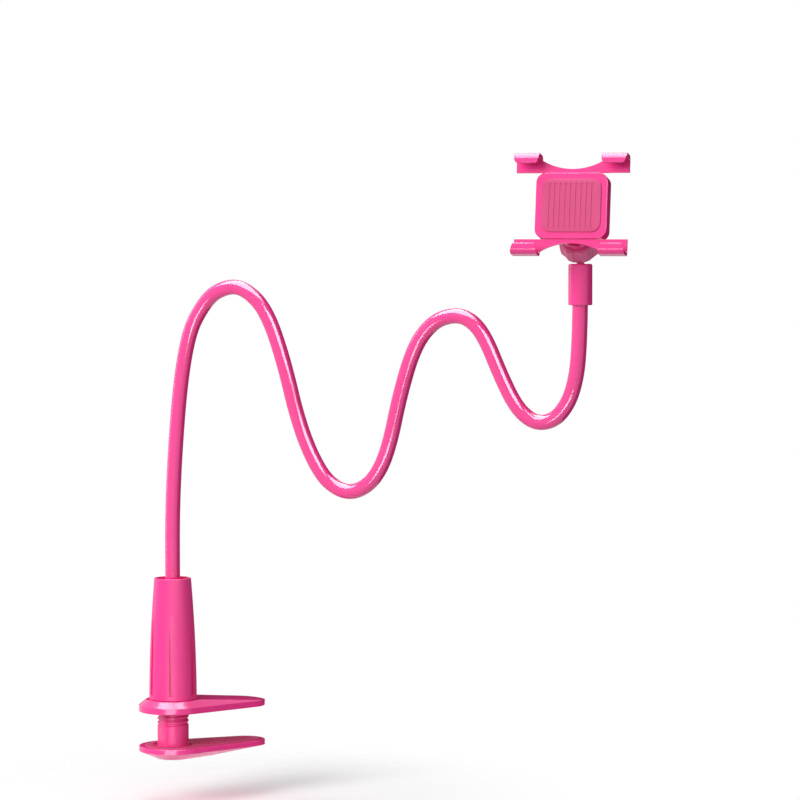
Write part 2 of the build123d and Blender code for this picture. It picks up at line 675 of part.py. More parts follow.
def spring() -> Part:
    """Compression spring between a fork's tab and the end wall of the housing."""
    length = SPRING_TOP_Y - SPRING_FOOT_Y - 2 * (SPRING_WIRE_R + RUNNING_FIT)
    coil = Helix(length / SPRING_TURNS, length, SPRING_R)
    wire = sweep(Plane(origin=coil @ 0, z_dir=coil % 0) * Circle(SPRING_WIRE_R), path=coil, is_frenet=True)
    foot_y = SPRING_FOOT_Y + SPRING_WIRE_R + RUNNING_FIT
    return Pos(0, foot_y, SPRING_N) * Rot(-90, 0, 0) * wire


def upper_spring() -> Part:
    return in_clip(spring())


def lower_spring() -> Part:
    return in_clip(opposite(spring()))


PIECES = [
    lower_jaw,
    lower_pad,
    clamp_post,
    post_screw,
    arm_bush,
    upper_jaw,
    upper_pad,
    clamp_handle,
    gooseneck_core,
    gooseneck_sleeve,
    neck_collar,
    ball_stud,
    ring_nut,
    clip_body,
    clip_cover,
    clip_pad,
    cover_screws,
    upper_fork,
    lower_fork,
    upper_finger_pads,
    lower_finger_pads,
    upper_spring,
    lower_spring,
]

os.makedirs("parts", exist_ok=True)
for piece in PIECES:
    export_step(piece(), f"parts/{piece.__name__}.step")
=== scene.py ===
import json
import logging
import math
from collections.abc import Callable
from dataclasses import dataclass
from enum import Enum

import bmesh
import bpy
from mathutils import Matrix, Vector


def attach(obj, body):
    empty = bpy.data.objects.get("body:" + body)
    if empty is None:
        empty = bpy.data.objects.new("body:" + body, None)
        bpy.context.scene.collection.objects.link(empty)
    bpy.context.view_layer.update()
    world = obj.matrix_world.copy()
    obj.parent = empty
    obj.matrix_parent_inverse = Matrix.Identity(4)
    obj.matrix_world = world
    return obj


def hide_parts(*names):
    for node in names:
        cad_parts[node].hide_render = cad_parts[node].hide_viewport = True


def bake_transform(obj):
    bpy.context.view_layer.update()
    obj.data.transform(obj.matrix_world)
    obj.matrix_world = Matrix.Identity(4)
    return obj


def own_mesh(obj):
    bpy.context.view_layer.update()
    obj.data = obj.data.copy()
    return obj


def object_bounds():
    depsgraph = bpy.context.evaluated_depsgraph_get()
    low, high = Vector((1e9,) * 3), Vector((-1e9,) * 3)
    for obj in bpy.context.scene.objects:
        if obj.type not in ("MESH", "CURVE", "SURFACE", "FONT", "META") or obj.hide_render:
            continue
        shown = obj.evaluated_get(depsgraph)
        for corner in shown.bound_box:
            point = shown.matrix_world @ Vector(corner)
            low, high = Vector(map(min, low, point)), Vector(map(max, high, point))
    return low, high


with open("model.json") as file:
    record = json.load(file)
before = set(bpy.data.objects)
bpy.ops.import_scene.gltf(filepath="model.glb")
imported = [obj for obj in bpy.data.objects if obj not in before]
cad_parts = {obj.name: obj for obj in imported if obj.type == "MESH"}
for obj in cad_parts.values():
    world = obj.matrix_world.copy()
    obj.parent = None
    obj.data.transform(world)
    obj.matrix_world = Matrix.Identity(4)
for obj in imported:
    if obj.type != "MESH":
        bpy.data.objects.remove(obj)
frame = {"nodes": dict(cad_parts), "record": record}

Piece = bpy.types.Object
Material = bpy.types.Material

CAD_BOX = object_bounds()
LOG = logging.getLogger("holder")
MM = 0.001
UP = Vector((0, 0, 1)).freeze()
# Corners nearer to each other than this are one corner.
WELD_GAP = 0.002 * MM
# A corner nearer to a cut than this lies on it.
CUT_GAP = 0.0001 * MM
# Cosine above which a face counts as looking straight along a direction.
STRAIGHT = 0.99
# Steps of a rounded rim.
RIM_STEPS = 3
# Angle in degrees from which an edge stays sharp in the shading.
SHARP_DEG = 40.0


class Body(str, Enum):
    """Bodies of the frame that pieces ride on."""

    BASE = "base"
    TOP_JAW = "top_jaw"
    ARM = "arm"
    CLIP = "clip"
    UPPER_GRIP = "upper_grip"
    LOWER_GRIP = "lower_grip"


class Slot(str, Enum):
    """Material slots of the record."""

    PLASTIC = "pink_plastic"
    SLEEVE = "pink_sleeve"
    ALLOY = "core_alloy"
    RUBBER = "pad_rubber"
    STEEL = "steel"


Wardrobe = dict[Slot, Material]


class Part(Enum):
    """What a cut through a mesh takes away, seen along the cut's normal."""

    BEFORE = "before"
    BEYOND = "beyond"
    NONE = "none"


class Boolean(Enum):
    """What becomes of another piece's solid, in the words of Blender's modifier."""

    ADD = "UNION"
    CUT = "DIFFERENCE"


class LampWork(Enum):
    """What a lamp of the studio does."""

    BOTH = "both"
    LIGHTS = "lights"
    MIRRORED = "mirrored"


class Fork(Enum):
    """The two forks of the clip, by the word that their solids and joints start with."""

    UPPER = "upper"
    LOWER = "lower"

    def sign(self) -> int:
        """The way the fork slides out, along the housing."""
        return 1 if self is Fork.UPPER else -1

    def turn(self) -> Matrix:
        """The turn about the housing's forward axis that takes the upper fork's pieces to this fork."""
        return Matrix.Rotation(0 if self is Fork.UPPER else math.pi, 4, "Z")

    def body(self) -> Body:
        """The body that the fork's pieces ride on."""
        return Body(f"{self.value}_grip")


def linear(hex_colour: str) -> tuple[float, float, float, float]:
    """Turns an sRGB hex colour into linear RGBA.

    Args:
        hex_colour: six hex digits after a hash.

    Returns:
        The colour as linear red, green, blue and alpha.
    """
    channels = [int(hex_colour[i : i + 2], 16) / 255 for i in (1, 3, 5)]
    red, green, blue = (c / 12.92 if c <= 0.04045 else ((c + 0.055) / 1.055) ** 2.4 for c in channels)
    return (red, green, blue, 1.0)


def add_node(
    tree: bpy.types.NodeTree, kind: str, settings: dict | None = None, links: dict | None = None
) -> bpy.types.Node:
    """Adds a shader node with its settings and links.

    Args:
        tree: the node tree.
        kind: the node's type name.
        settings: attributes by name, and socket values by socket name or index.
        links: the outputs that feed its inputs, by input name or index.

    Returns:
        The new node.
    """
    node = tree.nodes.new(kind)
    for name, value in (settings or {}).items():
        if isinstance(name, str) and hasattr(node, name):
            setattr(node, name, value)
        else:
            node.inputs[name].default_value = value
    for name, output in (links or {}).items():
        tree.links.new(output, node.inputs[name])
    return node


def start_material(name: str) -> tuple[Material, bpy.types.NodeTree, bpy.types.Node]:
    """Starts a material on nodes.

    Args:
        name: the material's name.

    Returns:
        The material, its node tree and its shader.
    """
    material = bpy.data.materials.new(name)
    material.use_nodes = True
    return material, material.node_tree, material.node_tree.nodes["Principled BSDF"]


@dataclass(frozen=True)
class Plastic:
    """Moulded or extruded plastic: a faintly cloudy colour, a skin with a fine peel, and uneven gloss."""

    name: str
    colour: str
    cloud_colour: str
    roughness: float
    mirror: float
    peel_mm: float
    peel_depth_mm: float
    peel_strength: float = 0.5
    peel_detail: float = 1.0
    cloud_mm: float = 18.0
    cloud_detail: float = 2.0
    gloss_spread: float = 0.12
    ior: float = 1.5

    def material(self) -> Material:
        """Builds the finish's material.

        Returns:
            The new material.
        """
        material, tree, shader = start_material(self.name)
        place = {"Vector": add_node(tree, "ShaderNodeTexCoord").outputs["Object"]}
        cloud, peel = (
            add_node(tree, "ShaderNodeTexNoise", {"Scale": 1 / (size * MM), "Detail": detail}, place)
            for size, detail in ((self.cloud_mm, self.cloud_detail), (self.peel_mm, self.peel_detail))
        )
        tint = add_node(
            tree,
            "ShaderNodeMix",
            {"data_type": "RGBA", 6: linear(self.colour), 7: linear(self.cloud_colour)},
            {"Factor": cloud.outputs["Fac"]},
        )
        low, high = (self.roughness * (1 + side * self.gloss_spread) for side in (-1, 1))
        reach = {"To Min": low, "To Max": high}
        gloss = add_node(tree, "ShaderNodeMapRange", reach, {"Value": cloud.outputs["Fac"]})
        bump = add_node(
            tree,
            "ShaderNodeBump",
            {"Strength": self.peel_strength, "Distance": self.peel_depth_mm * MM},
            {"Height": peel.outputs["Fac"]},
        )
        tree.links.new(tint.outputs[2], shader.inputs["Base Color"])
        tree.links.new(gloss.outputs["Result"], shader.inputs["Roughness"])
        tree.links.new(bump.outputs["Normal"], shader.inputs["Normal"])
        shader.inputs["IOR"].default_value = self.ior
        shader.inputs["Specular IOR Level"].default_value = self.mirror
        return material


@dataclass(frozen=True)
class BareMetal:
    """Drawn or plated metal with fine lines left by the die or the bath."""

    name: str
    colour: str
    roughness: float
    line_mm: float
    line_detail: float = 3.0
    gloss_spread: float = 0.2

    def material(self) -> Material:
        """Builds the finish's material.

        Returns:
            The new material.
        """
        material, tree, shader = start_material(self.name)
        place = {"Vector": add_node(tree, "ShaderNodeTexCoord").outputs["Object"]}
        fine = {"Scale": 1 / (self.line_mm * MM), "Detail": self.line_detail}
        lines = add_node(tree, "ShaderNodeTexNoise", fine, place)
        low, high = (self.roughness * (1 + side * self.gloss_spread) for side in (-1, 1))
        reach = {"To Min": low, "To Max": high}
        gloss = add_node(tree, "ShaderNodeMapRange", reach, {"Value": lines.outputs["Fac"]})
        tree.links.new(gloss.outputs["Result"], shader.inputs["Roughness"])
        shader.inputs["Base Color"].default_value = linear(self.colour)
        shader.inputs["Metallic"].default_value = 1.0
        return material


@dataclass(frozen=True)
class Finishes:
    """All finishes of the holder."""

    # Injection-moulded ABS straight from a polished mould: bright, with soft-edged reflections.
    gloss: Plastic = Plastic(
        "moulded_pink_abs", "#ee3a8d", "#ea3689",
        roughness=0.21, mirror=0.45, peel_mm=0.9, peel_depth_mm=0.004,
    )
    # The same ABS from a blasted mould, on the handle and the post: an even satin with no sharp lights.
    satin: Plastic = Plastic(
        "satin_pink_abs", "#ee3a8d", "#ea3689",
        roughness=0.4, mirror=0.35, peel_mm=0.5, peel_depth_mm=0.012,
    )
    # Extruded soft PVC tube: wetter gloss than the mouldings, with long reflections.
    sleeve: Plastic = Plastic(
        "extruded_pink_pvc", "#ee3b8e", "#eb378a",
        roughness=0.11, mirror=0.6, peel_mm=6.0, peel_depth_mm=0.004,
    )
    # ABS in a paler, greyer pink with a dry matt skin, on the ring nut: its ribs show by shading alone.
    matt: Plastic = Plastic(
        "matt_pale_pink_abs", "#e2709f", "#dc6a99",
        roughness=0.55, mirror=0.25, peel_mm=0.5, peel_depth_mm=0.012,
    )
    # Soft rubber of the gripping faces: dull and pebbled, a shade darker than the plastic.
    rubber: Plastic = Plastic(
        "moulded_pink_rubber", "#c93a74", "#be336c",
        roughness=0.66, mirror=0.3, peel_mm=0.6, peel_depth_mm=0.05,
    )
    # Soft alloy rod as drawn: pale grey, with a silky sheen.
    alloy: BareMetal = BareMetal("drawn_soft_alloy", "#c9cbce", roughness=0.35, line_mm=0.4)
    # Zinc plate on steel: bright, slightly blue, with cloudy gloss.
    steel: BareMetal = BareMetal("zinc_plated_steel", "#b9bcc0", roughness=0.28, line_mm=0.5)

    def by_slot(self) -> Wardrobe:
        """Builds one material for each slot of the record.

        Returns:
            Materials by slot.
        """
        return {
            Slot.PLASTIC: self.gloss.material(),
            Slot.SLEEVE: self.sleeve.material(),
            Slot.RUBBER: self.rubber.material(),
            Slot.ALLOY: self.alloy.material(),
            Slot.STEEL: self.steel.material(),
        }


def clear_selection() -> None:
    """Leaves edit mode and deselects everything."""
    if bpy.context.mode != "OBJECT":
        bpy.ops.object.mode_set(mode="OBJECT")
    bpy.ops.object.select_all(action="DESELECT")


def take(piece: Piece) -> None:
    """Leaves a piece alone selected, and active.

    Args:
        piece: the piece.
    """
    clear_selection()
    piece.select_set(True)
    bpy.context.view_layer.objects.active = piece


def add_object(name: str, data: bpy.types.ID) -> Piece:
    """Adds an object to the scene.

    Args:
        name: the object's name.
        data: its mesh, curve, lamp or camera.

    Returns:
        The new object.
    """
    added = bpy.data.objects.new(name, data)
    bpy.context.scene.collection.objects.link(added)
    return added


def dress(piece: Piece, material: Material) -> None:
    """Gives a piece one material all over."""
    piece.data.materials.clear()
    piece.data.materials.append(material)


class Workpiece:
    """A mesh object on the bench, shaped with Blender's own operators."""

    def __init__(self, name: str) -> None:
        """Takes the active object, makes its place its mesh's own, and names it.

        Args:
            name: the piece's name.
        """
        self.body = bpy.context.object
        self.body.name = name
        self.body.data.name = name
        bpy.ops.object.transform_apply(location=True, rotation=True, scale=True)

    @classmethod
    def from_profile(cls, name: str, points: list[tuple[float, float]]) -> "Workpiece":
        """Draws an open profile by pulling one corner from point to point.

        Args:
            name: the piece's name.
            points: radius and height of each corner.

        Returns:
            The profile, in the plane of X and Z.
        """
        clear_selection()
        bpy.ops.mesh.primitive_plane_add(size=MM)
        piece = cls(name)
        piece.edit()
        bpy.ops.mesh.merge(type="CENTER")
        bpy.ops.mesh.select_mode(type="VERT")
        bpy.ops.mesh.select_all(action="SELECT")
        bpy.ops.transform.translate(value=(points[0][0], 0, points[0][1]))
        for (r, z), (next_r, next_z) in zip(points, points[1:]):
            piece.extrude((next_r - r, 0, next_z - z))
        return piece

    def edit(self) -> None:
        """Takes the piece alone into edit mode, with all of it selected."""
        take(self.body)
        bpy.ops.object.mode_set(mode="EDIT")
        bpy.ops.mesh.select_all(action="SELECT")

    def pick_faces(self, test: Callable[[Vector, Vector], bool]) -> None:
        """Selects the faces that pass a test.

        Args:
            test: the test, on a face's middle and normal.
        """
        bpy.ops.mesh.select_mode(type="FACE")
        bpy.ops.mesh.select_all(action="DESELECT")
        mesh = bmesh.from_edit_mesh(self.body.data)
        for face in mesh.faces:
            face.select_set(test(face.calc_center_median(), face.normal))
        bmesh.update_edit_mesh(self.body.data)

    def pick_flat(self, looks: Vector) -> None:
        """Selects the faces that look straight one way."""
        self.pick_faces(lambda middle, normal: normal.dot(looks) > STRAIGHT)

    def pick_corners(self, test: Callable[[Vector], bool]) -> None:
        """Selects the corners that pass a test.

        Args:
            test: the test, on a corner's place.
        """
        bpy.ops.mesh.select_mode(type="VERT")
        bpy.ops.mesh.select_all(action="DESELECT")
        mesh = bmesh.from_edit_mesh(self.body.data)
        for corner in mesh.verts:
            corner.select_set(test(corner.co))
        mesh.select_flush(False)
        bmesh.update_edit_mesh(self.body.data)

    def extrude(self, move: tuple[float, float, float]) -> None:
        """Pulls what is selected out by a move."""
        bpy.ops.mesh.extrude_region_move(TRANSFORM_OT_translate={"value": move})

    def cut(self, place: Vector, normal: Vector, drop: Part = Part.NONE) -> None:
        """Cuts what is selected with a plane and closes the cut where a side is dropped.

        Args:
            place: a point of the plane.
            normal: the plane's normal.
            drop: the side that is taken away.
        """
        bpy.ops.mesh.bisect(
            plane_co=place,
            plane_no=normal,
            use_fill=drop is not Part.NONE,
            clear_inner=drop is Part.BEFORE,
            clear_outer=drop is Part.BEYOND,
            threshold=CUT_GAP,
        )

    def set_border(self, looks: Vector, rounding: float, border: float) -> None:
        """Rounds the rim of a flat face and sets a border in from it, which leaves the field selected.

        Args:
            looks: the way the face looks.
            rounding: the rim's rounding.
            border: the border's width.
        """
        self.pick_flat(looks)
        bpy.ops.mesh.region_to_loop()
        bpy.ops.mesh.bevel(offset=rounding, segments=RIM_STEPS, affect="EDGES")
        self.pick_flat(looks)
        bpy.ops.mesh.inset(thickness=border)

    def sink_strips(
        self,
        looks: Vector,
        field: Callable[[Vector], bool],
        across: Vector,
        starts: list[float],
        width: float,
        depth: float,
    ) -> None:
        """Sinks parallel strips into the field of a flat face, which is selected.

        Args:
            looks: the way the face looks.
            field: whether a point of the face lies in its field.
            across: the direction in which the strips follow each other.
            starts: where each strip starts in that direction.
            width: a strip's width.
            depth: how deep it sinks.
        """

        def in_field(middle: Vector, normal: Vector) -> bool:
            """Whether a face belongs to the field."""
            return normal.dot(looks) > STRAIGHT and field(middle)

        for start in starts:
            for edge in (start, start + width):
                self.cut(across * edge, across)
                self.pick_faces(in_field)
        self.pick_faces(
            lambda middle, normal: in_field(middle, normal)
            and any(start < middle.dot(across) < start + width for start in starts)
        )
        self.extrude(tuple(looks * -depth))
        clear_selection()

    def weld(self) -> None:
        """Merges doubled corners and turns all faces outwards."""
        bpy.ops.mesh.select_all(action="SELECT")
        bpy.ops.mesh.remove_doubles(threshold=WELD_GAP)
        bpy.ops.mesh.normals_make_consistent(inside=False)

    def spin_round(self, steps: int) -> None:
        """Turns a profile once about the Z axis into a closed solid.

        Args:
            steps: the number of steps round.
        """
        bpy.ops.mesh.select_all(action="SELECT")
        bpy.ops.mesh.spin(steps=steps, angle=2 * math.pi, center=(0, 0, 0), axis=UP)
        self.weld()

    def apply_modifier(self, kind: str, **settings: object) -> None:
        """Adds a modifier and applies it.

        Args:
            kind: the modifier's type name.
            **settings: its attributes by name.
        """
        take(self.body)
        modifier = self.body.modifiers.new("shaping", kind)
        for name, value in settings.items():
            setattr(modifier, name, value)
        bpy.ops.object.modifier_apply(modifier=modifier.name)

    def wind_up(self, rise: float, turns: int, steps: int) -> None:
        """Winds a profile up about the Z axis and takes it into edit mode.

        Args:
            rise: how far each turn rises.
            turns: the number of turns.
            steps: the number of steps in a turn.
        """
        self.apply_modifier(
            "SCREW", axis="Z", screw_offset=rise, iterations=turns, steps=steps, render_steps=steps
        )
        self.edit()

    def combine(self, other: "Workpiece", how: Boolean) -> None:
        """Adds another piece's solid to this one or cuts it out, and clears it off the bench.

        Args:
            other: the other piece.
            how: whether it is added or cut out.
        """
        self.apply_modifier("BOOLEAN", operation=how.value, solver="EXACT", object=other.body)
        bpy.data.objects.remove(other.body)
        self.edit()
        self.weld()
        bpy.ops.mesh.dissolve_degenerate(threshold=WELD_GAP)
        clear_selection()

    def finish(self, sharp_deg: float = SHARP_DEG) -> Piece:
        """Smooths the shading over all but sharp edges.

        Args:
            sharp_deg: the angle from which an edge stays sharp.

        Returns:
            The finished object.
        """
        take(self.body)
        bpy.ops.object.shade_smooth_by_angle(angle=math.radians(sharp_deg))
        return self.body

    def copies(self, places: dict[str, Matrix], sharp_deg: float = SHARP_DEG) -> list[Piece]:
        """Copies the piece to several places, each with its own mesh, and clears it off the bench.

        Args:
            places: the place of each copy, by its name.
            sharp_deg: the angle from which an edge stays sharp.

        Returns:
            The finished copies.
        """
        pieces = []
        for name, place in places.items():
            take(self.body)
            bpy.ops.object.duplicate()
            bpy.context.object.matrix_world = place
            pieces.append(Workpiece(name).finish(sharp_deg))
        bpy.data.objects.remove(self.body)
        return pieces


def fit(piece: Piece, node: str, slot: Slot, finishes: Wardrobe, body: Body | None = None) -> Piece:
    """Dresses a finished piece, lets it stand for its solid and ride on its body.

    Args:
        piece: the finished piece.
        node: the solid that it stands for.
        slot: the record's slot of its finish.
        finishes: materials by slot.
        body: the body it moves with, or none.

    Returns:
        The same piece.
    """
    dress(piece, finishes[slot])
    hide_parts(node)
    if body:
        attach(piece, body.value)
    return piece


@dataclass
class CrossScrew:
    """Pan-head screw with a cross recess, modelled upright with the seat of its head at height zero."""

    head_r: float
    head_h: float
    shank_r: float
    length: float
    recess_reach: float
    recess_w: float
    recess_depth: float
    recess_taper: float = 0.6
    tip_share: float = 0.4
    sides: int = 32
    crown_share: float = 0.45
    # Corners of the crown: share of the head's radius, and of the crown's height.
    crown: tuple = ((0.55, 0.0), (0.82, 0.3), (0.96, 0.72), (1.0, 1.0))

    def build(self, name: str) -> Workpiece:
        """Turns the screw from its profile and sinks the cross into its head.

        Args:
            name: the piece's name.

        Returns:
            The screw, with its head below height zero.
        """
        crown_h = self.head_h * self.crown_share
        screw = Workpiece.from_profile(
            name,
            [
                (0, -self.head_h),
                *[(self.head_r * r, -self.head_h + crown_h * h) for r, h in self.crown],
                (self.head_r, 0),
                (self.shank_r, 0),
                (self.shank_r, self.length - self.shank_r),
                (self.shank_r * self.tip_share, self.length),
                (0, self.length),
            ],
        )
        screw.spin_round(self.sides)
        for turn in (0, math.pi / 2):
            screw.combine(self.recess(turn), Boolean.CUT)
        return screw

    def recess(self, turn: float) -> Workpiece:
        """One slot of the cross, narrower at its floor.

        Args:
            turn: the slot's turn about the screw's axis.

        Returns:
            The cutter.
        """
        clear_selection()
        bpy.ops.mesh.primitive_cube_add(
            size=1,
            location=(0, 0, -self.head_h),
            rotation=(0, 0, turn),
            scale=(2 * self.recess_reach, self.recess_w, 2 * self.recess_depth),
        )
        slot = Workpiece("cross_cutter")
        slot.edit()
        slot.pick_flat(UP)
        floor = (0, 0, -self.head_h + self.recess_depth)
        bpy.ops.transform.resize(value=(self.recess_taper, self.recess_taper, 1), center_override=floor)
        clear_selection()
        return slot


@dataclass
class Arm:
    """The bendable arm: a soft sleeve over a core, along one smooth line in an upright plane."""

    heading_deg: float = -50.0
    sleeve_r: float = 5.0 * MM
    core_r: float = 3.2 * MM
    sleeve_foot: float = 44.0 * MM
    core_foot: float = 38.0 * MM
    top: float = 315.0 * MM
    bend_start: float = 137.0 * MM
    bend_end: float = 245.0 * MM
    reach: float = 285.5 * MM
    steps_along: int = 20
    steps_round: int = 30
    # Corners of the route: share of the reach, and height in millimetres.
    route: tuple = (
        (0, 100), (0, 175), (0.0301, 270.1), (0.0869, 300.5), (0.144, 309.1),
        (0.1912, 306.6), (0.2401, 292.6), (0.2815, 261.4), (0.3225, 215.3), (0.3738, 184.8),
        (0.4217, 174.3), (0.4635, 173.8), (0.5069, 182.0), (0.5412, 201.1), (0.571, 240.1),
        (0.6062, 271.3), (0.6518, 286.9), (0.7051, 291.4), (0.7432, 287.6), (0.7756, 276.6),
        (0.8128, 251.9), (0.8484, 232.2), (0.8848, 223.0), (0.9195, 221.8), (0.9535, 227.0),
        (0.984, 241.5), (1, 269.0),
    )

    def point(self, along: float, height: float) -> Vector:
        """A point of the arm's upright plane, so far along its heading and so high."""
        turn = math.radians(self.heading_deg)
        return Vector((along * math.cos(turn), along * math.sin(turn), height))

    def line(self, name: str, foot: float) -> Piece:
        """Draws the route's smooth line.

        Args:
            name: the line's name.
            foot: height of the lower end.

        Returns:
            The line.
        """
        corners = [(0.0, foot), *[(u * self.reach, z * MM) for u, z in self.route], (self.reach, self.top)]
        curve = bpy.data.curves.new(name, "CURVE")
        curve.dimensions = "3D"
        spline = curve.splines.new("NURBS")
        spline.points.add(len(corners) - 1)
        for control, (along, height) in zip(spline.points, corners):
            control.co = (*self.point(along, height), 1.0)
        spline.use_endpoint_u = True
        spline.order_u = 3
        spline.resolution_u = self.steps_along
        return add_object(name, curve)

    def rod(self, name: str, radius: float, foot: float, bore_r: float = 0.0) -> Piece:
        """Sweeps a round rod, or a tube, along the route's line.

        Args:
            name: the piece's name.
            radius: the outer radius.
            foot: height of the lower end.
            bore_r: the radius of a tube's bore, or zero for a full rod.

        Returns:
            The finished piece.
        """
        line = self.line(name + "_line", foot)
        line.data.bevel_depth = radius
        line.data.bevel_resolution = self.steps_round
        line.data.use_fill_caps = bore_r == 0
        bpy.context.view_layer.update()
        mesh = bpy.data.meshes.new_from_object(line.evaluated_get(bpy.context.evaluated_depsgraph_get()))
        bpy.data.objects.remove(line)
        take(add_object(name, mesh))
        rod = Workpiece(name)
        if bore_r:
            rod.apply_modifier("SOLIDIFY", thickness=radius - bore_r, offset=-1.0)
        return rod.finish()

    def bend_across(self, piece: Piece) -> None:
        """Bakes a piece's place into its own mesh.

        Args:
            piece: the sleeve or the core.
        """
        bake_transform(piece)

    def build(self, finishes: Wardrobe) -> list[Piece]:
        """Builds the sleeve and the core and bakes their places into their meshes.

        Args:
            finishes: materials by slot.

        Returns:
            The new pieces.
        """
        sleeve = self.rod("arm_sleeve", self.sleeve_r, self.sleeve_foot, self.core_r)
        core = self.rod("arm_core", self.core_r, self.core_foot)
        pieces = [
            fit(sleeve, "gooseneck_sleeve", Slot.SLEEVE, finishes),
            fit(core, "gooseneck_core", Slot.ALLOY, finishes),
        ]
        for piece in pieces:
            self.bend_across(piece)
        return pieces


@dataclass
class Clamp:
    """Post, pads and screw of the edge clamp, all upright about the post's axis."""

    post_finish: Material
    post_r: float = 10.6 * MM
    post_flat: float = 8.6 * MM
    post_foot: float = -2.6 * MM
    post_top: float = 76.0 * MM
    post_sides: int = 144
    thread_foot: float = 13.0 * MM
    thread_pitch: float = 3.0 * MM
    thread_depth: float = 0.9 * MM
    thread_steps: int = 72
    # Corners of the thread: share of its depth, from the crest down, and of the pitch.
    thread: tuple = ((0, 0.0), (0, 0.36), (1, 0.52), (1, 0.8), (0, 0.96), (0, 1.0))
    bush_r: float = 7.0 * MM
    bush_foot: float = Arm.sleeve_foot
    bush_sides: int = 72
    core_r: float = Arm.core_r
    core_foot: float = Arm.core_foot
    screw_seat: float = -5.5 * MM
    screw_r: float = 2.4 * MM
    screw_length: float = 16.0 * MM
    screw_sides: int = 32
    pad_rear_r: float = 19.0 * MM
    pad_tip_r: float = 10.0 * MM
    pad_tip_x: float = 54.0 * MM
    pad_hole_r: float = 13.0 * MM
    pad_sides: int = 96
    pad_t: float = 2.0 * MM
    pad_rounding: float = 0.4 * MM
    pad_border: float = 1.6 * MM
    groove_depth: float = 0.45 * MM
    groove_w: float = 1.3 * MM
    groove_pitch: float = 3.9 * MM
    groove_from: float = 17.0 * MM
    groove_to: float = 59.0 * MM
    grip_gap: float = 22.0 * MM
    sharp_deg: float = 30.0

    def threaded_shaft(self) -> Workpiece:
        """The upper part of the post: a helical tooth wound up into a rod.

        Returns:
            The rod, closed at both ends.
        """
        foot = self.thread_foot - self.thread_pitch
        corners = [
            (self.post_r - deep * self.thread_depth, foot + share * self.thread_pitch)
            for deep, share in self.thread
        ]
        rod = Workpiece.from_profile("post_thread", corners)
        turns = math.ceil((self.post_top - foot) / self.thread_pitch) + 1
        rod.wind_up(self.thread_pitch, turns, self.thread_steps)
        rod.weld()
        rod.cut(UP * self.thread_foot, UP, Part.BEFORE)
        bpy.ops.mesh.select_all(action="SELECT")
        rod.cut(UP * self.post_top, UP, Part.BEYOND)
        clear_selection()
        return rod

    def bored_hollow(self) -> Workpiece:
        """The hollows of the post: the arm's seat from above and the screw's hole from below.

        Returns:
            The cutter.
        """
        above = self.post_top + MM
        hollow = Workpiece.from_profile(
            "seat_cutter",
            [
                (0, self.core_foot),
                (self.core_r, self.core_foot),
                (self.core_r, self.bush_foot),
                (self.bush_r, self.bush_foot),
                (self.bush_r, above),
                (0, above),
            ],
        )
        hollow.spin_round(self.bush_sides)
        end = self.screw_seat + self.screw_length
        below = self.post_foot - MM
        hole = Workpiece.from_profile(
            "hole_cutter", [(0, below), (self.screw_r, below), (self.screw_r, end), (0, end)]
        )
        hole.spin_round(self.screw_sides)
        hollow.combine(hole, Boolean.ADD)
        return hollow

    def post(self) -> Piece:
        """The post: plain below, threaded above, with a flat on each side.

        Returns:
            The finished post.
        """
        clear_selection()
        plain_h = self.thread_foot - self.post_foot
        bpy.ops.mesh.primitive_cylinder_add(
            vertices=self.post_sides,
            radius=self.post_r,
            depth=plain_h,
            location=(0, 0, self.post_foot + plain_h / 2),
        )
        post = Workpiece("post_with_thread")
        post.combine(self.threaded_shaft(), Boolean.ADD)
        post.edit()
        for side in (1, -1):
            bpy.ops.mesh.select_all(action="SELECT")
            flat = Vector((side, 0, 0))
            post.cut(flat * self.post_flat, flat, Part.BEYOND)
        post.weld()
        clear_selection()
        post.combine(self.bored_hollow(), Boolean.CUT)
        return post.finish(self.sharp_deg)

    def pad_taper(self) -> float:
        """The sine of the angle at which a pad's sides close towards its tip."""
        return (self.pad_rear_r - self.pad_tip_r) / self.pad_tip_x

    def pad(self, name: str, foot: float, looks: Vector) -> Piece:
        """A jaw's rubber pad: a ring round the post drawn out to the tip, with cross grooves on its face.

        Args:
            name: the piece's name.
            foot: height of its underside.
            looks: the way its gripping face looks, up or down.

        Returns:
            The finished pad.
        """
        clear_selection()
        place = (0, 0, foot)
        bpy.ops.mesh.primitive_circle_add(vertices=self.pad_sides, radius=self.pad_rear_r, location=place)
        pad = Workpiece(name)
        pad.edit()
        pad.pick_corners(lambda corner: corner.x > self.pad_rear_r * self.pad_taper())
        share = self.pad_tip_r / self.pad_rear_r
        bpy.ops.transform.resize(value=(share, share, 1), center_override=place)
        bpy.ops.transform.translate(value=(self.pad_tip_x, 0, 0))
        bpy.ops.mesh.primitive_circle_add(vertices=self.pad_sides, radius=self.pad_hole_r, location=place)
        bpy.ops.mesh.select_all(action="SELECT")
        bpy.ops.mesh.bridge_edge_loops()
        bpy.ops.mesh.select_all(action="SELECT")
        pad.extrude((0, 0, self.pad_t))
        pad.weld()
        pad.set_border(looks, self.pad_rounding, self.pad_border)
        count = int((self.groove_to - self.groove_from) / self.groove_pitch)
        starts = [self.groove_from + i * self.groove_pitch for i in range(count + 1)]
        along = Vector((1, 0, 0))
        pad.sink_strips(looks, self.in_field, along, starts, self.groove_w, self.groove_depth)
        return pad.finish()

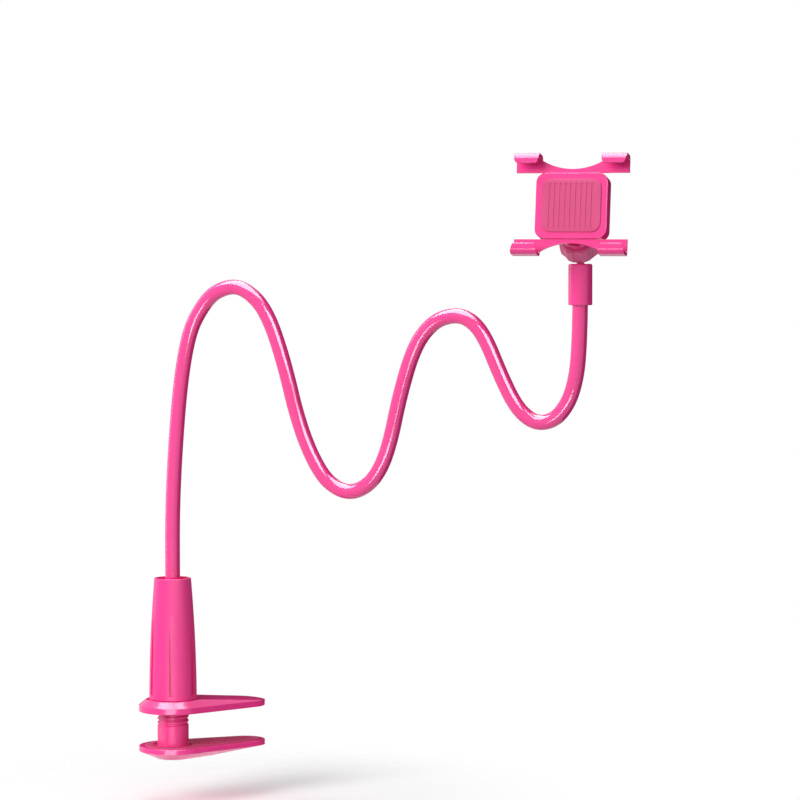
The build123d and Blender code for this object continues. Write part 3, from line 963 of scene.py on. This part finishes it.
    def in_field(self, point: Vector) -> bool:
        """Tells whether a point of a pad's face lies inside its plain border.

        Args:
            point: the point.

        Returns:
            True where it does.
        """
        if point.x > self.pad_tip_x:
            return (point - Vector((self.pad_tip_x, 0, point.z))).length < self.pad_tip_r - self.pad_border
        taper = self.pad_taper()
        half = (self.pad_rear_r - point.x * taper) / math.sqrt(1 - taper**2) - self.pad_border
        return abs(point.y) < half and point.to_2d().length > self.pad_hole_r + self.pad_border

    def foot_screw(self) -> Piece:
        """The screw that holds the post on the lower jaw.

        Returns:
            The finished screw.
        """
        screw = CrossScrew(
            head_r=4.6 * MM,
            head_h=3.0 * MM,
            shank_r=self.screw_r,
            length=self.screw_length,
            recess_reach=2.6 * MM,
            recess_w=1.1 * MM,
            recess_depth=1.7 * MM,
        )
        place = Matrix.Translation(UP * self.screw_seat)
        (placed,) = screw.build("screw_pattern").copies({"post_foot_screw": place}, self.sharp_deg)
        return placed

    def build(self, finishes: Wardrobe) -> list[Piece]:
        """Builds the clamp's pieces.

        Args:
            finishes: materials by slot.

        Returns:
            The new pieces.
        """
        lower = self.pad("lower_grip_pad", -self.pad_t, UP)
        upper = self.pad("upper_grip_pad", self.grip_gap, -UP)
        post = fit(self.post(), "clamp_post", Slot.PLASTIC, finishes, Body.BASE)
        dress(post, self.post_finish)
        return [
            post,
            fit(lower, "lower_pad", Slot.RUBBER, finishes, Body.BASE),
            fit(upper, "upper_pad", Slot.RUBBER, finishes, Body.TOP_JAW),
            fit(self.foot_screw(), "post_screw", Slot.STEEL, finishes, Body.BASE),
        ]


@dataclass
class Clip:
    """Back pad, linings, screws and springs of the clip, modelled in the housing's own frame.

    The frame has its origin in the middle of the housing's back: X across the clip, Y from fork to fork and
    Z forward.
    """

    arm: Arm
    ball_height: float = 337.0 * MM
    heading_deg: float = -134.0
    tilt_deg: float = 31.0
    lean_deg: float = 21.0
    neck_reach: float = 24.0 * MM
    head_rise: float = 10.0 * MM
    pad_w: float = 38.0 * MM
    pad_l: float = 34.0 * MM
    pad_corner_r: float = 6.0 * MM
    pad_corner_steps: int = 10
    pad_foot: float = 12.7 * MM
    pad_t: float = 0.8 * MM
    pad_rounding: float = 0.3 * MM
    pad_border: float = 2.4 * MM
    # A face whose middle lies further than this from the pad's edges is in the field.
    pad_margin: float = 2.8 * MM
    rib_pitch: float = 3.4 * MM
    rib_w: float = 1.6 * MM
    rib_depth: float = 0.35 * MM
    finger_x: float = 28.0 * MM
    lining_w: float = 15.3 * MM
    lining_t: float = 1.0 * MM
    lining_outer_y: float = 30.25 * MM
    lining_low: float = 12.2 * MM
    lining_high: float = 19.2 * MM
    lining_rounding: float = 0.35 * MM
    lining_border: float = 0.7 * MM
    # A face whose middle lies further than this from the lining's sides is in the field.
    lining_margin: float = 0.9 * MM
    lining_groove_w: float = 0.9 * MM
    lining_groove_depth: float = 0.3 * MM
    # Where the grooves start, as shares of the lining's height.
    lining_grooves: tuple = (0.3, 0.58)
    screw_x: float = 18.7 * MM
    screw_y: float = 16.7 * MM
    spring_r: float = 2.4 * MM
    wire_r: float = 0.35 * MM
    wire_sides: int = 12
    spring_low: float = 3.4 * MM
    spring_high: float = 18.6 * MM
    spring_depth: float = 5.05 * MM
    spring_turns: int = 5
    spring_steps: int = 28
    end_wall: float = 19.0 * MM
    spring_keep: float = 0.24

    def frame(self) -> Matrix:
        """The housing's frame.

        Returns:
            The move and turn from the housing's frame to the object's.
        """
        turn, rise, lean = (math.radians(a) for a in (self.heading_deg, self.tilt_deg, self.lean_deg))
        axis = Vector((math.cos(rise) * math.cos(turn), math.cos(rise) * math.sin(turn), math.sin(rise)))
        across = Vector((-math.sin(turn), math.cos(turn), 0))
        up = axis.cross(across)
        forward = axis * math.cos(lean) - up * math.sin(lean)
        rise_dir = axis * math.sin(lean) + up * math.cos(lean)
        ball = self.arm.point(self.arm.reach, self.ball_height)
        home = ball + axis * self.neck_reach + rise_dir * self.head_rise
        turned = Matrix((across, rise_dir, forward)).transposed().to_4x4()
        return Matrix.Translation(home) @ turned

    def back_pad(self) -> Workpiece:
        """The ribbed pad behind what is held.

        Returns:
            The pad.
        """
        clear_selection()
        place = (0, 0, self.pad_foot)
        bpy.ops.mesh.primitive_plane_add(size=1, location=place)
        pad = Workpiece("back_pad_pattern")
        pad.edit()
        bpy.ops.transform.resize(value=(self.pad_w, self.pad_l, 1), center_override=place)
        bpy.ops.mesh.bevel(offset=self.pad_corner_r, segments=self.pad_corner_steps, affect="VERTICES")
        bpy.ops.mesh.select_all(action="SELECT")
        pad.extrude((0, 0, self.pad_t))
        pad.weld()
        pad.set_border(UP, self.pad_rounding, self.pad_border)
        half_w, half_l = (side / 2 - self.pad_margin for side in (self.pad_w, self.pad_l))
        lines = int(half_w / self.rib_pitch)
        pad.sink_strips(
            looks=UP,
            field=lambda point: abs(point.x) < half_w and abs(point.y) < half_l,
            across=Vector((1, 0, 0)),
            starts=[i * self.rib_pitch - self.rib_w / 2 for i in range(-lines, lines + 1)],
            width=self.rib_w,
            depth=self.rib_depth,
        )
        return pad

    def lining(self) -> Workpiece:
        """The soft lining of one finger, at the clip's middle, with two grooves along it.

        Returns:
            The lining.
        """
        clear_selection()
        length = self.lining_high - self.lining_low
        bpy.ops.mesh.primitive_cube_add(
            size=1,
            location=(0, self.lining_outer_y - self.lining_t / 2, self.lining_low + length / 2),
            scale=(self.lining_w, self.lining_t, length),
        )
        lining = Workpiece("lining_pattern")
        lining.edit()
        inward = Vector((0, -1, 0))
        lining.set_border(inward, self.lining_rounding, self.lining_border)
        lining.sink_strips(
            looks=inward,
            field=lambda point: abs(point.x) < self.lining_w / 2 - self.lining_margin,
            across=UP,
            starts=[self.lining_low + length * share for share in self.lining_grooves],
            width=self.lining_groove_w,
            depth=self.lining_groove_depth,
        )
        return lining

    def spring(self) -> Workpiece:
        """A coil spring between a fork's tab and the housing's end wall.

        Returns:
            The spring, upright on the origin.
        """
        clear_selection()
        bpy.ops.mesh.primitive_circle_add(
            vertices=self.wire_sides,
            radius=self.wire_r,
            location=(self.spring_r, 0, 0),
            rotation=(math.pi / 2, 0, 0),
        )
        coil = Workpiece("spring_pattern")
        rise = (self.spring_high - self.spring_low) / self.spring_turns
        coil.wind_up(rise, self.spring_turns, self.spring_steps)
        bpy.ops.mesh.fill_holes(sides=0)
        coil.weld()
        clear_selection()
        return coil

    def build(self, finishes: Wardrobe) -> list[Piece]:
        """Builds the clip's pieces.

        Args:
            finishes: materials by slot.

        Returns:
            The new pieces.
        """
        home = self.frame()
        (pad,) = self.back_pad().copies({"back_pad": home})
        pieces = [fit(pad, "clip_pad", Slot.RUBBER, finishes, Body.CLIP)]
        linings = {
            f"{fork.value}_lining_{side}": home @ fork.turn() @ Matrix.Translation((x, 0, 0))
            for fork in Fork
            for side, x in (("left", -self.finger_x), ("right", self.finger_x))
        }
        for piece in self.lining().copies(linings):
            fork = Fork(piece.name.split("_")[0])
            pieces.append(fit(piece, f"{fork.value}_finger_pads", Slot.RUBBER, finishes, fork.body()))
        screw = CrossScrew(
            head_r=2.0 * MM,
            head_h=1.4 * MM,
            shank_r=1.0 * MM,
            length=10.6 * MM,
            recess_reach=1.25 * MM,
            recess_w=0.5 * MM,
            recess_depth=0.85 * MM,
        )
        corners = [(x, y) for x in (-self.screw_x, self.screw_x) for y in (-self.screw_y, self.screw_y)]
        screws = {
            f"cover_screw_{i}": home @ Matrix.Translation((x, y, screw.head_h))
            for i, (x, y) in enumerate(corners, 1)
        }
        for piece in screw.build("cover_screw_pattern").copies(screws):
            pieces.append(fit(piece, "cover_screws", Slot.STEEL, finishes, Body.CLIP))
        seat = Matrix.Translation((0, self.spring_low, self.spring_depth))
        along_y = Matrix.Rotation(-math.pi / 2, 4, "X")
        springs = {f"{fork.value}_coil": home @ fork.turn() @ seat @ along_y for fork in Fork}
        for piece in self.spring().copies(springs):
            fork = Fork(piece.name.split("_")[0])
            pieces.append(fit(piece, f"{fork.value}_spring", Slot.STEEL, finishes, Body.CLIP))
            self.let_spring_close(piece, fork)
        return pieces

    def let_spring_close(self, coil: Piece, fork: Fork) -> None:
        """Gives a spring its own mesh.

        Args:
            coil: the spring.
            fork: its fork.
        """
        wall = self.frame() @ Vector((0, fork.sign() * self.end_wall, self.spring_depth))
        along = self.frame().to_3x3() @ Vector((0, fork.sign(), 0))
        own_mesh(coil)


@dataclass
class FramePieces:
    """The frame's own solids, which keep their shape and get their finishes."""

    satin_node: str = "clamp_handle"
    matt_node: str = "ring_nut"

    def dress_all(self, finishes: Wardrobe, satin: Material, matt: Material) -> None:
        """Gives every solid the finish of its slot, and what the hand turns a duller one.

        Args:
            finishes: materials by slot.
            satin: the handle's finish.
            matt: the ring nut's finish.
        """
        dull = {self.satin_node: satin, self.matt_node: matt}
        for subpart in frame["record"]["subparts"]:
            name = subpart["node"]
            dress(frame["nodes"][name], dull.get(name, finishes[Slot(subpart["material_slot"])]))


def aimed(place: Vector, look: Vector) -> Matrix:
    """The matrix of a lamp or camera at a place that looks one way."""
    return Matrix.Translation(place) @ look.to_track_quat("-Z", "Y").to_matrix().to_4x4()


@dataclass(frozen=True)
class SoftBox:
    """A rectangular lamp. Its spot is right, ahead and up from the middle of the object."""

    name: str
    spot: tuple[float, float, float]
    size: tuple[float, float]
    watts: float
    work: LampWork
    looks_down: bool = False


@dataclass(frozen=True)
class Flag:
    """An upright black card for reflections alone. Its spot is right, ahead and up from the origin."""

    name: str
    spot: tuple[float, float, float]
    size: tuple[float, float]
    beside: bool


@dataclass
class Studio:
    """Pale floor, soft lamps and the camera of the picture."""

    picture_px: int = 800
    focal_px: float = 3300.0
    view_turn_deg: float = -30.0
    distance: float = 2.210
    side: float = 0.1529
    height: float = 0.346
    horizon_px: float = 230.0
    sensor_mm: float = 36.0
    view_end: float = 20.0
    floor_gap: float = 30.0 * MM
    floor_r: float = 1.6
    floor_sides: int = 96
    floor_x: float = 0.05
    fade_from: float = 0.05
    fade_to: float = 0.24
    ambient: float = 0.46
    middle_right: float = 0.14
    middle_up: float = 0.2
    lamps: tuple = (
        # The main light, from the left of the camera.
        SoftBox("key_lamp", spot=(-1.25, -1.4, 0.75), size=(1.0, 1.0), watts=33.0, work=LampWork.LIGHTS),
        # A narrow upright lamp on the left edges.
        SoftBox("edge_lamp", spot=(-1.2, 0.45, 0.45), size=(0.12, 1.5), watts=3.2, work=LampWork.BOTH),
        SoftBox("top_lamp", spot=(-0.3, -0.3, 1.4), size=(0.9, 0.5), watts=5.0, work=LampWork.LIGHTS),
        # Cards that the gloss mirrors, from above, from the right and from low in front.
        SoftBox(
            "top_card", spot=(-0.3, -0.28, 1.2), size=(1.6, 1.56), watts=95.0, work=LampWork.MIRRORED,
            looks_down=True,
        ),
        SoftBox("right_card", spot=(0.7, -1.35, 0.8), size=(1.1, 0.7), watts=33.0, work=LampWork.MIRRORED),
        SoftBox("low_card", spot=(-0.25, -1.5, -0.45), size=(1.0, 0.26), watts=10.0, work=LampWork.MIRRORED),
    )
    # Black cards that give the gloss dark edges.
    flags: tuple = (
        Flag("right_flag", spot=(0.8, 1.1, 0.4), size=(2.8, 2.0), beside=True),
        Flag("back_flag", spot=(0.15, 1.6, 0.2), size=(1.3, 0.8), beside=False),
    )

    def right(self) -> Vector:
        """The camera's level right-hand direction."""
        turn = math.radians(self.view_turn_deg)
        return Vector((math.cos(turn), math.sin(turn), 0.0))

    def ahead(self) -> Vector:
        """The camera's level forward direction."""
        return UP.cross(self.right())

    def spot(self, right: float, ahead: float, up: float) -> Vector:
        """A point so far right, ahead and up from the origin, as the camera sees it."""
        return self.right() * right + self.ahead() * ahead + UP * up

    def build_camera(self) -> None:
        """Places the camera."""
        data = bpy.data.cameras.new("picture_camera")
        data.sensor_width = self.sensor_mm
        data.lens = self.focal_px / self.picture_px * self.sensor_mm
        data.clip_end = self.view_end
        camera = add_object("picture_camera", data)
        place = self.spot(self.side, -self.distance, self.height)
        dip = math.atan((self.picture_px / 2 - self.horizon_px) / self.focal_px)
        look = self.spot(0.0, math.cos(dip), -math.sin(dip))
        camera.matrix_world = aimed(place, look)
        bpy.context.scene.camera = camera

    def build_lamps(self) -> None:
        """Adds the lamps, each aimed at the middle of the object unless it looks straight down."""
        middle = self.spot(self.middle_right, 0.0, self.middle_up)
        for box in self.lamps:
            data = bpy.data.lights.new(box.name, "AREA")
            data.shape = "RECTANGLE"
            data.size, data.size_y = box.size
            data.energy = box.watts
            lamp = add_object(box.name, data)
            lamp.visible_diffuse = box.work is not LampWork.MIRRORED
            lamp.visible_glossy = box.work is not LampWork.LIGHTS
            place = middle + self.spot(*box.spot)
            lamp.matrix_world = aimed(place, -UP if box.looks_down else middle - place)

    def build_flags(self) -> None:
        """Adds the black cards, one beside the object and one behind it."""
        material, _, shader = start_material("black_card")
        shader.inputs["Base Color"].default_value = linear("#000000")
        shader.inputs["Specular IOR Level"].default_value = 0.0
        for flag in self.flags:
            clear_selection()
            bpy.ops.mesh.primitive_plane_add(size=1)
            card = bpy.context.object
            card.name = flag.name
            along = self.ahead() if flag.beside else self.right()
            upright = Matrix((along, UP, along.cross(UP))).transposed().to_4x4()
            place = Matrix.Translation(self.spot(*flag.spot))
            card.matrix_world = place @ upright @ Matrix.Diagonal((*flag.size, 1.0, 1.0))
            dress(card, material)
            card.visible_camera = False
            card.visible_diffuse = False
            card.visible_shadow = False
            card.visible_transmission = False

    def build_world(self) -> None:
        """White where it is seen or mirrored, and a plain grey-white light elsewhere."""
        world = bpy.data.worlds.new("studio")
        bpy.context.scene.world = world
        world.use_nodes = True
        tree = world.node_tree
        tree.nodes.clear()
        white = linear("#ffffff")
        path = add_node(tree, "ShaderNodeLightPath")
        light = add_node(tree, "ShaderNodeBackground", {"Color": white, "Strength": self.ambient})
        seen = add_node(tree, "ShaderNodeBackground", {"Color": white, "Strength": 1.0})
        shown = path.outputs["Is Camera Ray"]
        for ray in ("Is Glossy Ray", "Is Transmission Ray"):
            either = {0: shown, 1: path.outputs[ray]}
            shown = add_node(tree, "ShaderNodeMath", {"operation": "MAXIMUM"}, either).outputs[0]
        both = {0: shown, 1: light.outputs[0], 2: seen.outputs[0]}
        pick = add_node(tree, "ShaderNodeMixShader", links=both)
        add_node(tree, "ShaderNodeOutputWorld", links={"Surface": pick.outputs[0]})

    def build_floor(self) -> None:
        """A pale round floor that fades into the white round it."""
        clear_selection()
        bpy.ops.mesh.primitive_circle_add(vertices=self.floor_sides, radius=self.floor_r, fill_type="NGON")
        floor = bpy.context.object
        floor.name = "floor"
        floor.location = (self.floor_x, 0.0, CAD_BOX[0][2] - self.floor_gap)
        material, tree, _ = start_material("pale_floor")
        tree.nodes.clear()
        place = {0: add_node(tree, "ShaderNodeTexCoord").outputs["Object"]}
        reach = add_node(tree, "ShaderNodeVectorMath", {"operation": "LENGTH"}, place)
        fade = add_node(
            tree,
            "ShaderNodeMapRange",
            {"interpolation_type": "SMOOTHSTEP", "From Min": self.fade_from, "From Max": self.fade_to},
            {"Value": reach.outputs["Value"]},
        )
        pale = add_node(tree, "ShaderNodeBsdfDiffuse", {"Color": linear("#fafafa")})
        clear = add_node(tree, "ShaderNodeBsdfTransparent")
        both = {0: fade.outputs["Result"], 1: pale.outputs[0], 2: clear.outputs[0]}
        blend = add_node(tree, "ShaderNodeMixShader", links=both)
        add_node(tree, "ShaderNodeOutputMaterial", links={"Surface": blend.outputs[0]})
        dress(floor, material)

    def build(self) -> None:
        """Builds the whole studio."""
        bpy.context.scene.view_settings.view_transform = "Standard"
        self.build_camera()
        self.build_lamps()
        self.build_flags()
        self.build_world()
        self.build_floor()


def main() -> None:
    """Builds the pieces in order, dresses them and sets the studio."""
    logging.basicConfig(level=logging.INFO)
    choice = Finishes()
    finishes = choice.by_slot()
    satin = choice.satin.material()
    FramePieces().dress_all(finishes, satin, choice.matt.material())
    arm = Arm()
    for group in (Clamp(post_finish=satin), arm, Clip(arm)):
        for piece in group.build(finishes):
            LOG.info("built %s", piece.name)
    Studio().build()


if __name__ == "__main__":
    main()
